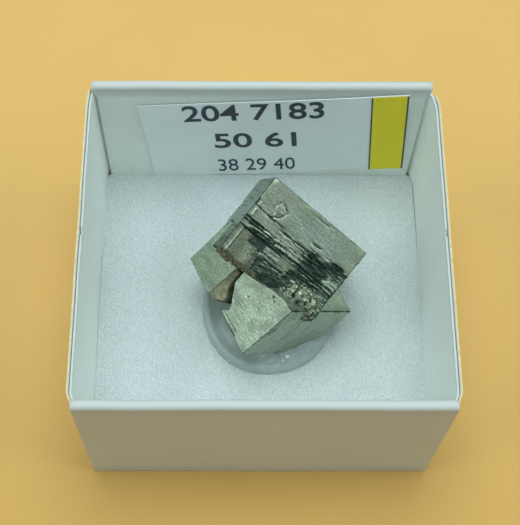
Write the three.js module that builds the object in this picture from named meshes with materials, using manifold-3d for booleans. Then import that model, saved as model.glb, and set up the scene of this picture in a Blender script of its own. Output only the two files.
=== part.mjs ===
// Pyrite crystal group in an open folded card tray, millimetres, +Z up.
// The origin is at the middle of the tray's underside, and the tray's front faces -Y.
import * as THREE from 'three';
import { mergeVertices } from 'three/addons/utils/BufferGeometryUtils.js';
import Module from 'manifold-3d';

const wasm = await Module();
wasm.setup();

// Driving dimensions of the tray
const TRAY_WIDTH = 41.2;
const TRAY_DEPTH = 40.4;
const TRAY_HEIGHT = 24;
const CARD = 0.4;
const FOLD_GAP = 0.05;
const ROLL_WIDTH = 1.2;
const ROLL_INSET = 0.5;
const RIM_DROP = 0.8;
const FLAP_DROP = 1;
const FLAP_MEETING_Y = 0.8;
const FLAP_NOTCH = 0.8;
const LINING_END_GAP = 0.35;
const ROLL_TURNS = 10;

// Driving dimensions of what lies in the tray
const PAD_TOP = 4;
const PAD_CLEARANCE = 0.35;
const PAD_CORNER = 1.5;
const PAD_CORNER_STEPS = 3;
const LABEL = {
  width: 32.6,
  height: 17,
  thickness: 0.15,
  middleX: 1.9,
  middleZ: 13.2,
  tiltDegrees: -4.7,
};
const DISC = { radius: 8.3, height: 0.95, edge: 0.3, x: 1.1, y: -0.9, segments: 56 };

// Driving dimensions of the crystals. Each pose is a crystal corner and its turn in degrees.
const TOUCH_GAP = 0.3;
const MERGE_DISTANCE = 1e-4;
const UPPER = {
  corner: [1.45, 7.55, 23.4],
  turn: [28, 8, -39],
  length: 13.9,
  width: 10.2,
  depth: 10.7,
  firstStep: 3.9,
  stepWidth: 1.55,
  stepDrops: [0.15, 0.2, 0.25, 0.3],
};
const LOWER = {
  corner: [3.3, -6.75, 17.85],
  turn: [23, -41, -56],
  width: 8.9,
  depth: 11.7,
  leftLength: 6.2,
  waistLength: 5.3,
  waist: 7,
  topLength: 7.8,
  shoulder: 2.2,
};
const LEFT = { near: 8.85, length: 5.25, overhang: 0.6, width: 8, depth: 7 };
const MATRIX = { middle: [-7.4, -6, -4.2], radii: [2.6, 3.4, 3.5] };
const GRANULAR = { middle: [11.2, -9.2, -1.7], radii: [2.4, 2.2, 1.9] };

// Materials
function finish(color, roughness, metalness = 0) {
  return new THREE.MeshStandardMaterial({ color, roughness, metalness });
}
const WHITE_CARD = 0xdfe8e6;
const WHITE_FOAM = 0xe3eeee;
const LABEL_PAPER = 0xd9e4e6;
const CLEAR_GUM = 0xa9bcbc;
const PYRITE = 0x8f9a84;
const PALE_PYRITE = 0xb6c4ae;
const BROWN_ROCK = 0x7d6a58;

const group = new THREE.Group();
group.name = 'mineral_sample_in_tray';

function addMesh(name, geometry, material, parent = group) {
  const mesh = new THREE.Mesh(geometry, material);
  mesh.name = name;
  parent.add(mesh);
  return mesh;
}

// A block between two opposite corners
function block(low, high) {
  const geometry = new THREE.BoxGeometry(high[0] - low[0], high[1] - low[1], high[2] - low[2]);
  geometry.translate((low[0] + high[0]) / 2, (low[1] + high[1]) / 2, (low[2] + high[2]) / 2);
  return geometry;
}

// A shape drawn in two axes and pushed along the third, from start to end
function prism(points, acrossAxis, upAxis, start, end) {
  const shape = new THREE.Shape(points);
  const geometry = new THREE.ExtrudeGeometry(shape, { depth: end - start, bevelEnabled: false });
  const pushAxis = new THREE.Vector3().crossVectors(acrossAxis, upAxis);
  geometry.translate(0, 0, start);
  return geometry.applyMatrix4(new THREE.Matrix4().makeBasis(acrossAxis, upAxis, pushAxis));
}

function points(pairs) {
  return pairs.map(([x, y]) => new THREE.Vector2(x, y));
}

// Booleans. Both shapes are closed, and the result keeps the first shape's frame.
function solid(geometry) {
  const bare = geometry.clone();
  bare.deleteAttribute('normal');
  bare.deleteAttribute('uv');
  const merged = mergeVertices(bare, MERGE_DISTANCE);
  return new wasm.Manifold(new wasm.Mesh({
    numProp: 3,
    vertProperties: new Float32Array(merged.attributes.position.array),
    triVerts: new Uint32Array(merged.index.array),
  }));
}

function geometryOf(manifold) {
  const mesh = manifold.getMesh();
  const geometry = new THREE.BufferGeometry();
  geometry.setAttribute('position', new THREE.BufferAttribute(new Float32Array(mesh.vertProperties), 3));
  geometry.setIndex(new THREE.BufferAttribute(new Uint32Array(mesh.triVerts), 1));
  geometry.computeVertexNormals();
  return geometry;
}

function cut(geometry, cutters) {
  return geometryOf(cutters.reduce((rest, cutter) => rest.subtract(solid(cutter)), solid(geometry)));
}

function joined(first, second) {
  return geometryOf(solid(first).add(solid(second)));
}

const X = new THREE.Vector3(1, 0, 0);
const Y = new THREE.Vector3(0, 1, 0);
const Z = new THREE.Vector3(0, 0, 1);

// Tray: one folded card blank, panel by panel
const halfWidth = TRAY_WIDTH / 2;
const halfDepth = TRAY_DEPTH / 2;
const innerPlyX = halfWidth - CARD - FOLD_GAP;
const rollRadius = ROLL_WIDTH / 2;
const rollBase = TRAY_HEIGHT - rollRadius;
const card = () => finish(WHITE_CARD, 0.8);

function addBasePanel() {
  const edgeY = halfDepth - CARD - FOLD_GAP;
  addMesh('base_panel', block([-innerPlyX, -edgeY, 0], [innerPlyX, edgeY, CARD]), card());
}

function addSidePanel(name, side) {
  const xs = [side * (halfWidth - CARD), side * halfWidth].sort((a, b) => a - b);
  addMesh(name, block([xs[0], -halfDepth, 0], [xs[1], halfDepth, TRAY_HEIGHT - RIM_DROP]), card());
}

function addEndPanel(name, side) {
  const ys = [side * halfDepth, side * (halfDepth - CARD)].sort((a, b) => a - b);
  addMesh(name, block([-innerPlyX, ys[0], 0], [innerPlyX, ys[1], rollBase - FOLD_GAP]), card());
}

// The rolled top runs past the lining's ends. Across is counted from the wall's outer face inwards.
function addLining(name, side) {
  const inward = Y.clone().multiplyScalar(-side);
  const place = (geometry) => geometry.translate(0, side * halfDepth, 0);
  const arc = (radius, from, to) => Array.from({ length: ROLL_TURNS + 1 }, (_, i) => {
    const angle = from + ((to - from) * i) / ROLL_TURNS;
    return [rollRadius + radius * Math.cos(angle), rollBase + radius * Math.sin(angle)];
  });
  const innerRadius = rollRadius - CARD;
  const foot = CARD + FOLD_GAP;
  const roll = [...arc(rollRadius, Math.PI, 0), ...arc(innerRadius, 0, Math.PI)];
  const hook = [
    ...arc(rollRadius, Math.PI, 0),
    [ROLL_WIDTH, foot],
    [ROLL_WIDTH - CARD, foot],
    ...arc(innerRadius, 0, Math.PI),
  ];
  const liningX = innerPlyX - CARD - LINING_END_GAP;
  const rollX = halfWidth - ROLL_INSET;
  const narrow = place(prism(points(hook).reverse(), inward, Z, -liningX, liningX));
  const wide = place(prism(points(roll).reverse(), inward, Z, -rollX, rollX));
  addMesh(name, joined(narrow, wide), card());
}

function addGlueFlap(name, sideX, sideY) {
  const xs = [sideX * innerPlyX, sideX * (innerPlyX - CARD)].sort((a, b) => a - b);
  const cornerY = sideY * (halfDepth - CARD - FOLD_GAP);
  const ys = [cornerY, FLAP_MEETING_Y + (sideY * FLAP_NOTCH) / 2].sort((a, b) => a - b);
  const low = [xs[0], ys[0], CARD + FOLD_GAP];
  addMesh(name, block(low, [xs[1], ys[1], TRAY_HEIGHT - FLAP_DROP]), card());
}

function addTray() {
  addBasePanel();
  addSidePanel('left_panel', -1);
  addSidePanel('right_panel', 1);
  addEndPanel('front_panel', -1);
  addEndPanel('back_panel', 1);
  addLining('front_lining', -1);
  addLining('back_lining', 1);
  for (const [end, sideY] of [['front', -1], ['back', 1]]) {
    addGlueFlap(`glue_flap_${end}_left`, -1, sideY);
    addGlueFlap(`glue_flap_${end}_right`, 1, sideY);
  }
}

// Foam pad on the tray's floor
function addFoamPad() {
  const x = innerPlyX - CARD - PAD_CLEARANCE;
  const y = halfDepth - ROLL_WIDTH - PAD_CLEARANCE;
  const corners = [[x, y, 0], [-x, y, 1], [-x, -y, 2], [x, -y, 3]];
  const outline = corners.flatMap(([cornerX, cornerY, quarter]) => {
    const middleX = cornerX - Math.sign(cornerX) * PAD_CORNER;
    const middleY = cornerY - Math.sign(cornerY) * PAD_CORNER;
    return Array.from({ length: PAD_CORNER_STEPS + 1 }, (_, i) => {
      const angle = ((quarter + i / PAD_CORNER_STEPS) * Math.PI) / 2;
      return [middleX + PAD_CORNER * Math.cos(angle), middleY + PAD_CORNER * Math.sin(angle)];
    });
  });
  addMesh('foam_pad', prism(points(outline), X, Y, CARD + FOLD_GAP, PAD_TOP), finish(WHITE_FOAM, 0.95));
}

// Paper label, standing behind the pad against the back lining
function addLabelCard() {
  const geometry = new THREE.BoxGeometry(LABEL.width, LABEL.thickness, LABEL.height);
  const mesh = addMesh('label_card', geometry, finish(LABEL_PAPER, 0.6));
  mesh.position.set(LABEL.middleX, halfDepth - ROLL_WIDTH - LABEL.thickness, LABEL.middleZ);
  mesh.rotation.y = THREE.MathUtils.degToRad(LABEL.tiltDegrees);
}

// Crystals
function poseOf({ corner, turn }) {
  const [x, y, z] = turn.map(THREE.MathUtils.degToRad);
  const pose = new THREE.Matrix4().makeRotationFromEuler(new THREE.Euler(x, y, z, 'XYZ'));
  return pose.setPosition(...corner);
}

const upperPose = poseOf(UPPER);
const lowerPose = poseOf(LOWER);

// Carries a shape from one crystal's frame, or from the tray's, to another's
function carried(geometry, fromPose, toPose = new THREE.Matrix4()) {
  return geometry.clone().applyMatrix4(toPose.clone().invert().multiply(fromPose));
}

// Long block whose face steps down in terraces along its length
function upperBlock() {
  const outline = [[0, 0]];
  let drop = 0;
  UPPER.stepDrops.forEach((fall, i) => {
    const y = -(UPPER.firstStep + i * UPPER.stepWidth);
    outline.push([y, -drop], [y, -drop - fall]);
    drop += fall;
  });
  outline.push([-UPPER.width, -drop], [-UPPER.width, -UPPER.depth], [0, -UPPER.depth]);
  return prism(points(outline), Y, Z, 0, UPPER.length);
}

function upperEnvelope(gap) {
  return block([-gap, -UPPER.width - gap, -UPPER.depth - gap], [UPPER.length + gap, gap, gap]);
}

// Lower block: its near corner is the frame's origin, and its upper edge is broken to a waist
function lowerBlock(gap = 0) {
  const outline = [
    [gap, gap],
    [-LOWER.topLength - gap, gap],
    [-LOWER.topLength - gap, -LOWER.shoulder],
    [-LOWER.waistLength - gap, -LOWER.waist],
    [-LOWER.leftLength - gap, -LOWER.width - gap],
    [gap, -LOWER.width - gap],
  ];
  return prism(points(outline), X, Y, -LOWER.depth - gap, gap);
}

function leftBlock(gap = 0) {
  const farX = -LEFT.near - LEFT.length;
  const farY = -LOWER.width - LEFT.overhang;
  return block([farX - gap, farY - gap, -LEFT.depth - gap], [-LEFT.near + gap, farY + LEFT.width + gap, gap]);
}

function lump({ middle, radii }, gap = 0, detail = 1) {
  const geometry = new THREE.IcosahedronGeometry(1, detail);
  geometry.scale(radii[0] + gap, radii[1] + gap, radii[2] + gap);
  return geometry.translate(...middle);
}

function placed(parentPose) {
  const holder = new THREE.Group();
  parentPose.decompose(holder.position, holder.quaternion, holder.scale);
  group.add(holder);
  return holder;
}

function addCrystals() {
  const upperHolder = placed(upperPose);
  const lowerHolder = placed(lowerPose);
  const upper = cut(upperBlock(), [lump(GRANULAR, TOUCH_GAP)]);
  const upperInLower = carried(upperEnvelope(TOUCH_GAP), upperPose, lowerPose);
  const padAndGap = block([-halfWidth, -halfDepth, 0], [halfWidth, halfDepth, PAD_TOP + TOUCH_GAP]);
  const underTip = carried(padAndGap, new THREE.Matrix4(), lowerPose);
  const lowerInUpper = carried(lowerBlock(TOUCH_GAP), lowerPose, upperPose);
  const matrixNeighbours = [upperInLower, lowerBlock(TOUCH_GAP), leftBlock(TOUCH_GAP)];
  addMesh('upper_crystal', upper, finish(PYRITE, 0.3, 1), upperHolder);
  addMesh('granular_patch', cut(lump(GRANULAR), [lowerInUpper]), finish(PYRITE, 0.6, 0.7), upperHolder);
  const lower = cut(lowerBlock(), [upperInLower, underTip]);
  addMesh('lower_crystal', lower, finish(PALE_PYRITE, 0.3, 1), lowerHolder);
  addMesh('left_crystal', cut(leftBlock(), [upperInLower]), finish(PALE_PYRITE, 0.3, 1), lowerHolder);
  addMesh('brown_matrix', cut(lump(MATRIX), matrixNeighbours), finish(BROWN_ROCK, 0.85), lowerHolder);
}

// Clear adhesive disc, with dents where the crystals' lowest corners press into it
function addAdhesiveDisc() {
  const { radius, height, edge, segments } = DISC;
  const profile = [
    [0, 0],
    [radius - edge, 0],
    [radius, edge],
    [radius, height - edge],
    [radius - edge, height],
    [0, height],
  ];
  const geometry = new THREE.LatheGeometry(points(profile), segments);
  geometry.rotateX(Math.PI / 2);
  geometry.translate(DISC.x, DISC.y, PAD_TOP + FOLD_GAP);
  const dents = [
    carried(upperEnvelope(TOUCH_GAP), upperPose),
    carried(lowerBlock(TOUCH_GAP), lowerPose),
  ];
  addMesh('adhesive_disc', cut(geometry, dents), finish(CLEAR_GUM, 0.25));
}

addTray();
addFoamPad();
addLabelCard();
addCrystals();
addAdhesiveDisc();

export default group;
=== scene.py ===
"""Pyrite crystal group, gummed to the foam of a folded card tray with a number label.

Pieces are modelled in millimetres and brought to metres, in the frame's own place, when they are settled.
"""

import math
import random

import bpy
import numpy as np
from mathutils import Euler, Matrix, Vector, noise


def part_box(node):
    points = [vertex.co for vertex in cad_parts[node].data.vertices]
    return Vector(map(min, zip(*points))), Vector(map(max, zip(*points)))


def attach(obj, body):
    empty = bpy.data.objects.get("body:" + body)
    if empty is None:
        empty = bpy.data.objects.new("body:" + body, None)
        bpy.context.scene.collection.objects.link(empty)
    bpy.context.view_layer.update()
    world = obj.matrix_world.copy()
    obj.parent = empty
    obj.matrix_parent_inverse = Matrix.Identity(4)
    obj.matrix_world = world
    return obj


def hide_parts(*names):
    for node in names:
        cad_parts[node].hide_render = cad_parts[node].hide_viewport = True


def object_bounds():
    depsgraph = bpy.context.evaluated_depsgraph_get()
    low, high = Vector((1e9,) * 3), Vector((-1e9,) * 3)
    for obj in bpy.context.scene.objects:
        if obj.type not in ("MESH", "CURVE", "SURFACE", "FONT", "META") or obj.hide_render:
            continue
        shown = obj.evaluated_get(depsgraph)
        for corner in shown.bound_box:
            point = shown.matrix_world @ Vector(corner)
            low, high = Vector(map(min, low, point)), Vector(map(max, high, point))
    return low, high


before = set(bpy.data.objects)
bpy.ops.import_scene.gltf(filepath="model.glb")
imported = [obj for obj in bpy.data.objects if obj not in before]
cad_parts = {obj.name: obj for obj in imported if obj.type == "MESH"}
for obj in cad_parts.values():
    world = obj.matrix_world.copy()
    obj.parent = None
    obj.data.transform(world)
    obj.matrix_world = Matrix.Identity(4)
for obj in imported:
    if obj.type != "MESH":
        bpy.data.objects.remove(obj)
CAD_BOX = [list(corner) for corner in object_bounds()]

bl_info = {
    "name": "Pyrite Specimen Tray",
    "version": (1, 0, 0),
    "blender": (4, 5, 0),
    "location": "View3D > Sidebar > Specimen",
    "description": "Builds a pyrite crystal group in a folded card tray around its packed frame",
    "category": "Object",
}

MM = 0.001


def extent(node):
    """Lowest and highest corner of a frame node, in millimetres."""
    low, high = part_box(node)
    return low / MM, high / MM


TRAY_LOW, TRAY_HIGH = (Vector(corner) / MM for corner in CAD_BOX)
PAD_LOW, PAD_HIGH = extent("foam_pad")
GUM_LOW, GUM_HIGH = extent("adhesive_disc")
LABEL_LOW, LABEL_HIGH = extent("label_card")

# where the side walls and the lining's ends stand, in millimetres from the tray's middle
CORNER_STAND = 20.14
BACK_STAND = 20.5
RIM_STAND = {-1: 20.72, 1: 20.88}
LINING_END = 19.62

LABEL_WIDTH = 32.6
LABEL_HEIGHT = 17.0
GRAIN_COUNT = 760
CRUMB_COUNT = 420
DAYLIGHT = (0.86, 0.98, 1.0)


# ---------------------------------------------------------------- settings


def length_setting(name, default, description):
    return bpy.props.FloatProperty(name=name, description=description, default=default * MM, unit="LENGTH")


def colour_setting(name, default, description):
    return bpy.props.FloatVectorProperty(
        name=name, description=description, default=default, size=3, subtype="COLOR", min=0, max=1
    )


def corner_setting(name, default, description):
    return bpy.props.FloatVectorProperty(
        name=name, description=description, default=[v * MM for v in default], size=3,
        subtype="TRANSLATION", unit="LENGTH",
    )


def turn_setting(name, default, description):
    return bpy.props.FloatVectorProperty(
        name=name, description=description, default=[math.radians(v) for v in default], size=3,
        subtype="EULER",
    )


class SPECIMEN_PG_sizes(bpy.types.PropertyGroup):
    """Sizes of the tray and of the crystals"""

    card: length_setting("Card", 0.3, "Thickness of the tray's card")
    roll: length_setting("Roll", 1.2, "Width of the rolled rim of the end walls")
    inner_card: length_setting("Inner card", 0.24, "Thickness of the pressed plies of the side walls")
    belly: length_setting("Belly", 0.5, "How far the side walls bulge past the folded corners")
    foam_grain: length_setting("Foam grain", 0.055, "Height of the foam's grain")
    upper_corner: corner_setting(
        "Upper crystal corner", (1.45, 7.55, 23.4), "Highest corner of the upper crystal"
    )
    upper_turn: turn_setting("Upper crystal turn", (28, 8, -39), "How the upper crystal is turned")
    upper_size: corner_setting("Upper crystal size", (13.9, 10.2, 11.1), "Length, width and depth")
    lower_corner: corner_setting(
        "Lower crystal corner", (3.3, -6.75, 17.85), "Near corner of the lower crystal"
    )
    lower_turn: turn_setting("Lower crystal turn", (23, -41, -56), "How the lower crystals are turned")
    lower_size: corner_setting("Lower crystal size", (7.8, 8.9, 11.7), "Length, width and depth")
    left_size: corner_setting("Left crystal size", (5.35, 8.0, 7.0), "Length, width and depth")


class SPECIMEN_PG_colours(bpy.types.PropertyGroup):
    """Colours of the finishes"""

    card: colour_setting("Card", (0.7, 0.74, 0.7), "White coated face of the card")
    cut_edge: colour_setting("Cut edge", (0.72, 0.64, 0.4), "Raw edge of the card")
    foam: colour_setting("Foam", (0.9, 1.0, 1.0), "White foam")
    paper: colour_setting("Label paper", (0.92, 0.99, 1.0), "Label paper")
    ink: colour_setting("Ink", (0.035, 0.042, 0.06), "Printed numbers")
    band: colour_setting("Band", (0.95, 0.78, 0.02), "Yellow band on the label")
    gum: colour_setting("Gum", (0.5, 0.585, 0.57), "Clear gum")
    pyrite: colour_setting("Pyrite", (0.53, 0.62, 0.46), "Clean crystal face")
    etched: colour_setting("Etched pyrite", (0.035, 0.05, 0.04), "Pitted, darkened crystal face")
    cool: colour_setting("Cool pyrite", (0.42, 0.58, 0.52), "Blue-green tarnish on the crystals")
    rust: colour_setting("Rust", (0.22, 0.2, 0.115), "Brown film on the crystals")
    rock: colour_setting("Rock", (0.24, 0.235, 0.145), "Brown rock between the crystals")
    floor: colour_setting("Floor", (0.79, 0.49, 0.155), "Floor under the tray")


def sizes():
    return bpy.context.scene.specimen_sizes


def colours():
    return bpy.context.scene.specimen_colours


def millimetres(values):
    return [value / MM for value in values]


# ---------------------------------------------------------------- finishes


class Wire:
    """One value in a finish. Arithmetic on it adds Math nodes."""

    def __init__(self, finish, socket):
        self.finish = finish
        self.socket = socket

    def math(self, operation, first, second=0.0):
        return self.finish.node("ShaderNodeMath", {"operation": operation}, {0: first, 1: second})

    def __add__(self, other):
        return self.math("ADD", self, other)

    __radd__ = __add__

    def __sub__(self, other):
        return self.math("SUBTRACT", self, other)

    def __rsub__(self, other):
        return self.math("SUBTRACT", other, self)

    def __mul__(self, other):
        return self.math("MULTIPLY", self, other)

    __rmul__ = __mul__

    def above(self, edge, softness):
        """0 below the edge, 1 above it, with a soft step between."""
        return self.finish.node(
            "ShaderNodeMapRange", {"interpolation_type": "SMOOTHSTEP"},
            {"Value": self, "From Min": edge - softness, "From Max": edge + softness},
        )


class Finish:
    """A material built from nodes. Its patterns are measured in millimetres."""

    def __init__(self, name, **sockets):
        self.material = bpy.data.materials.new(name)
        self.material.use_nodes = True
        self.tree = self.material.node_tree
        self.shader = self.tree.nodes["Principled BSDF"]
        self.place = self.node("ShaderNodeTexCoord", {}, {}, "Object")
        self.place = self.mapped(1 / MM)
        self.set(**sockets)

    def set(self, **sockets):
        """Sets shader sockets; an underscore in a name stands for a space."""
        for name, value in sockets.items():
            self.feed(self.shader, name.replace("_", " "), value)

    def feed(self, node, name, value):
        socket = node.inputs[name]
        if isinstance(value, Wire):
            self.tree.links.new(value.socket, socket)
        elif socket.type == "RGBA" and len(value) == 3:
            socket.default_value = (*value, 1)
        else:
            socket.default_value = value

    def node(self, kind, settings, sockets, output=0):
        """Adds a node of a kind: its settings first, then its sockets' values or links."""
        node = self.tree.nodes.new(kind)
        for name, value in settings.items():
            setattr(node, name, value)
        for name, value in sockets.items():
            self.feed(node, name, value)
        return Wire(self, node.outputs[output])

    def mapped(self, scale, place=None):
        scales = (scale,) * 3 if isinstance(scale, (int, float)) else scale
        return self.node(
            "ShaderNodeMapping", {"vector_type": "POINT"}, {"Vector": place or self.place, "Scale": scales}
        )

    def noise(self, scale, detail=2.0, place=None, roughness=0.5):
        return self.node(
            "ShaderNodeTexNoise", {},
            {"Vector": place or self.place, "Scale": scale, "Detail": detail, "Roughness": roughness},
        )

    def cells(self, scale):
        return self.node(
            "ShaderNodeTexVoronoi", {"feature": "F1"}, {"Vector": self.place, "Scale": scale}, "Distance"
        )

    def attribute(self, name, output="Fac"):
        return self.node("ShaderNodeAttribute", {"attribute_name": name}, {}, output)

    def mix(self, factor, first, second):
        return self.node("ShaderNodeMix", {"data_type": "RGBA"}, {0: factor, 6: first, 7: second}, 2)

    def bump(self, height, distance, strength=1.0, below=None):
        sockets = {"Height": height, "Distance": distance * MM, "Strength": strength}
        if below:
            sockets["Normal"] = below
        return self.node("ShaderNodeBump", {}, sockets)


def shade(colour, amount):
    """A colour made darker or lighter."""
    return tuple(min(1.0, channel * amount) for channel in colour)


def card_finish():
    """Coated white board with faint fibres and a few scuffs; painted light makes it paler inside the tray,
    and painted shade darkens its rims.
    """
    tone = colours().card
    finish = Finish("card_face", Specular_IOR_Level=0.35)
    fibres = finish.noise(5.5, 4, finish.mapped((1, 1, 0.35)))
    clouds = finish.noise(0.16, 2)
    scuffs = finish.noise(1.9, 5).above(0.66, 0.05)
    base = finish.mix(clouds.above(0.5, 0.3), shade(tone, 0.965), tone)
    # painted light: the card is lightened inside the tray
    base = finish.mix(finish.attribute("inside"), base, shade(tone, 1.3))
    # painted shade: the card is darkened on the rolled rims
    base = finish.mix(finish.attribute("rim"), base, shade(tone, 0.86))
    base = finish.mix(fibres.above(0.5, 0.25) * 0.16, base, shade(tone, 0.9))
    base = finish.mix(scuffs * 0.25, base, shade(tone, 0.86))
    finish.set(Base_Color=base, Roughness=0.5 + 0.12 * fibres + 0.1 * scuffs)
    finish.set(Normal=finish.bump(fibres + 0.4 * finish.noise(16, 2), 0.012, 0.5))
    return finish.material


def cut_edge_finish():
    """Raw edge of the board, where its pale brown middle shows."""
    tone = colours().cut_edge
    finish = Finish("card_cut_edge", Specular_IOR_Level=0.2)
    layers = finish.noise(7, 4, finish.mapped((1.0, 0.4, 1.0)))
    finish.set(Base_Color=finish.mix(layers.above(0.5, 0.25), shade(tone, 0.82), shade(tone, 1.12)))
    finish.set(Roughness=0.75 + 0.15 * layers, Normal=finish.bump(layers, 0.03, 0.6))
    return finish.material


def foam_finish():
    """White foam: a fine crust of cells with glossy skins that catch the light, and white specks on them as
    painted highlights.
    """
    tone = colours().foam
    finish = Finish("white_foam", Specular_IOR_Level=0.6)
    wobble = finish.noise(2.2, 2)
    cells = finish.cells(2.9)
    fine = finish.noise(7.5, 3)
    skins_and_glints = finish.cells(4.6).above(0.34, 0.1)
    base = finish.mix(cells.above(0.42, 0.3), tone, shade(tone, 0.92))
    base = finish.mix(fine.above(0.56, 0.1) * 0.8, base, shade(tone, 0.76))
    # painted highlights: white specks where the cells are glossy
    base = finish.mix((1 - skins_and_glints) * wobble.above(0.5, 0.08), base, (1.0, 1.0, 1.0))
    finish.set(Base_Color=base, Roughness=0.2 + 0.5 * skins_and_glints)
    finish.set(Normal=finish.bump(fine - 0.9 * cells, 0.3, 1.0))
    return finish.material


def paper_finish():
    """Smooth printed label paper with a slight cockle."""
    tone = colours().paper
    finish = Finish("label_paper", Specular_IOR_Level=0.3)
    fibres = finish.noise(9, 4)
    clouds = finish.noise(0.22, 2)
    base = finish.mix(clouds.above(0.5, 0.25), shade(tone, 0.96), shade(tone, 1.02))
    base = finish.mix(fibres.above(0.55, 0.2) * 0.3, base, shade(tone, 0.92))
    finish.set(Base_Color=base, Roughness=0.42 + 0.2 * fibres)
    finish.set(Normal=finish.bump(fibres + 2.5 * clouds, 0.02, 0.4))
    return finish.material


def print_finish(name, tone, streak):
    """Printed colour, a little uneven in its cover."""
    finish = Finish(name, Specular_IOR_Level=0.3)
    cover = finish.noise(3.2, 4, finish.mapped((1, 1, 0.5)))
    finish.set(Base_Color=finish.mix(cover.above(0.52, 0.2), tone, shade(tone, streak)))
    finish.set(Roughness=0.4 + 0.25 * cover, Normal=finish.bump(cover, 0.008, 0.4))
    return finish.material


def gum_finish():
    """Clear gum, clouded by fine bubbles. The attribute thick marks its ring, and wet its glossy folds."""
    tone = colours().gum
    finish = Finish("clear_gum", Specular_IOR_Level=0.6, Coat_Roughness=0.08)
    thick = finish.attribute("thick")
    clouds = finish.noise(0.9, 3)
    bubbles = finish.cells(2.6).above(0.16, 0.05)
    base = finish.mix(thick, shade(tone, 1.3), tone)
    base = finish.mix(clouds.above(0.5, 0.2) * 0.5, base, shade(tone, 0.8))
    base = finish.mix((1 - bubbles) * 0.35, base, (0.85, 0.9, 0.9))
    wet = finish.attribute("wet")
    finish.set(Base_Color=base, Roughness=0.3 + 0.2 * clouds - 0.3 * wet, Alpha=0.5 + 0.22 * thick)
    finish.set(Coat_Weight=0.15 + 0.8 * wet)
    finish.set(Normal=finish.bump(finish.noise(1.3, 3), 0.14, 0.6))
    return finish.material


def pyrite_finish(name, painted_brightness, polish):
    """Metallic crystal face. Its attributes, such as etch and rust, come from the face's own relief. Each
    crystal's brightness scale is a painted light level; one attribute darkens faces as painted shade with
    some mottling, and the bright hairlines and specks are painted highlights.
    """
    # the brightness scale sets a painted light level for each crystal
    tone, cool = shade(colours().pyrite, painted_brightness), shade(colours().cool, painted_brightness)
    rust, etched = colours().rust, colours().etched
    finish = Finish(name, Metallic=1.0)
    lattice = finish.attribute("lattice", "Vector")
    etch = finish.attribute("etch")
    film = finish.attribute("rust")
    dim = finish.attribute("dim")
    grooves = finish.noise(1.0, 5, finish.mapped((0.7, 6.5, 6.5), place=lattice), 0.62)
    hairlines_and_glints = finish.noise(1.0, 3, finish.mapped((1.4, 19, 19), place=lattice), 0.6)
    clouds = finish.noise(0.7, 4, lattice, 0.6)
    specks_and_glints = finish.noise(4.6, 4, lattice, 0.7)
    base = finish.mix(clouds.above(0.5, 0.16), shade(tone, 0.78), shade(tone, 1.1))
    base = finish.mix(finish.attribute("cool"), base, cool)
    base = finish.mix(finish.noise(0.5, 3, lattice).above(0.6, 0.14) * 0.35, base, rust)
    base = finish.mix(grooves.above(0.52, 0.14) * 0.5, base, shade(tone, 0.68))
    base = finish.mix(hairlines_and_glints.above(0.54, 0.08) * 0.5, base, shade(tone, 0.5))
    # painted highlights along the hairlines
    base = finish.mix((1 - hairlines_and_glints).above(0.56, 0.08) * 0.5, base, shade(tone, 1.5))
    base = finish.mix(specks_and_glints.above(0.55, 0.08) * 0.6, base, shade(tone, 0.45))
    # painted highlights: bright specks
    base = finish.mix((1 - specks_and_glints).above(0.57, 0.08) * 0.55, base, shade(tone, 1.5))
    base = finish.mix(film, base, finish.mix(specks_and_glints.above(0.5, 0.14), rust, shade(rust, 0.6)))
    # painted shade, with some mottling
    base = finish.mix(dim, base, shade(tone, 0.4))
    dark = (etch + 1.1 * grooves + 0.9 * specks_and_glints - 1.0).above(0.47, 0.26)
    pits = finish.mix(specks_and_glints.above(0.48, 0.2), shade(etched, 1.8), shade(etched, 0.8))
    base = finish.mix(dark, base, pits)
    finish.set(Base_Color=base)
    finish.set(Roughness=polish + 0.18 * clouds + 0.14 * specks_and_glints + 0.2 * etch + 0.15 * film)
    relief = finish.bump(grooves + 0.6 * hairlines_and_glints, 0.03, 0.5)
    finish.set(Normal=finish.bump(specks_and_glints, 0.07, 0.6, relief))
    return finish.material


def granular_finish():
    """Crust of small crystals: faces lightened by painted highlights, with dark seams between them."""
    tone = shade(colours().pyrite, 0.78)
    finish = Finish("granular_pyrite", Metallic=1.0)
    grains = finish.noise(2.6, 3)
    seams = finish.noise(1.5, 4, roughness=0.65)
    base = finish.mix(seams.above(0.5, 0.08), tone, colours().etched)
    base = finish.mix(finish.noise(0.6, 2).above(0.56, 0.1) * 0.5, base, shade(colours().rust, 0.7))
    # painted highlights: bright grain faces
    base = finish.mix(grains.above(0.6, 0.06) * 0.6, base, shade(tone, 1.6))
    finish.set(Base_Color=base, Roughness=0.34 + 0.4 * grains)
    finish.set(Normal=finish.bump(finish.noise(7, 3), 0.05, 0.5))
    return finish.material


def rock_finish():
    """Brown iron-stained rock, split into flat flakes."""
    tone = colours().rock
    finish = Finish("matrix_rock", Specular_IOR_Level=0.3)
    grain = finish.noise(4.2, 5, roughness=0.65)
    patches = finish.noise(1.0, 3)
    cracks = finish.noise(2.1, 4, roughness=0.7)
    base = finish.mix(patches.above(0.5, 0.12), shade(tone, 1.3), shade(tone, 0.75))
    base = finish.mix(grain.above(0.56, 0.12) * 0.7, base, shade(tone, 2.1))
    base = finish.mix(cracks.above(0.6, 0.05), base, (0.03, 0.02, 0.012))
    base = finish.mix(finish.noise(1.7, 2).above(0.62, 0.08) * 0.4, base, (0.19, 0.125, 0.05))
    # painted shade: the cleft and the crumbs under the upper crystal are darkened
    base = finish.mix(finish.attribute("cleft"), base, (0.028, 0.026, 0.015))
    finish.set(Base_Color=base, Roughness=0.55 + 0.35 * grain)
    finish.set(Normal=finish.bump(grain - cracks, 0.2, 0.8))
    return finish.material


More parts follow.
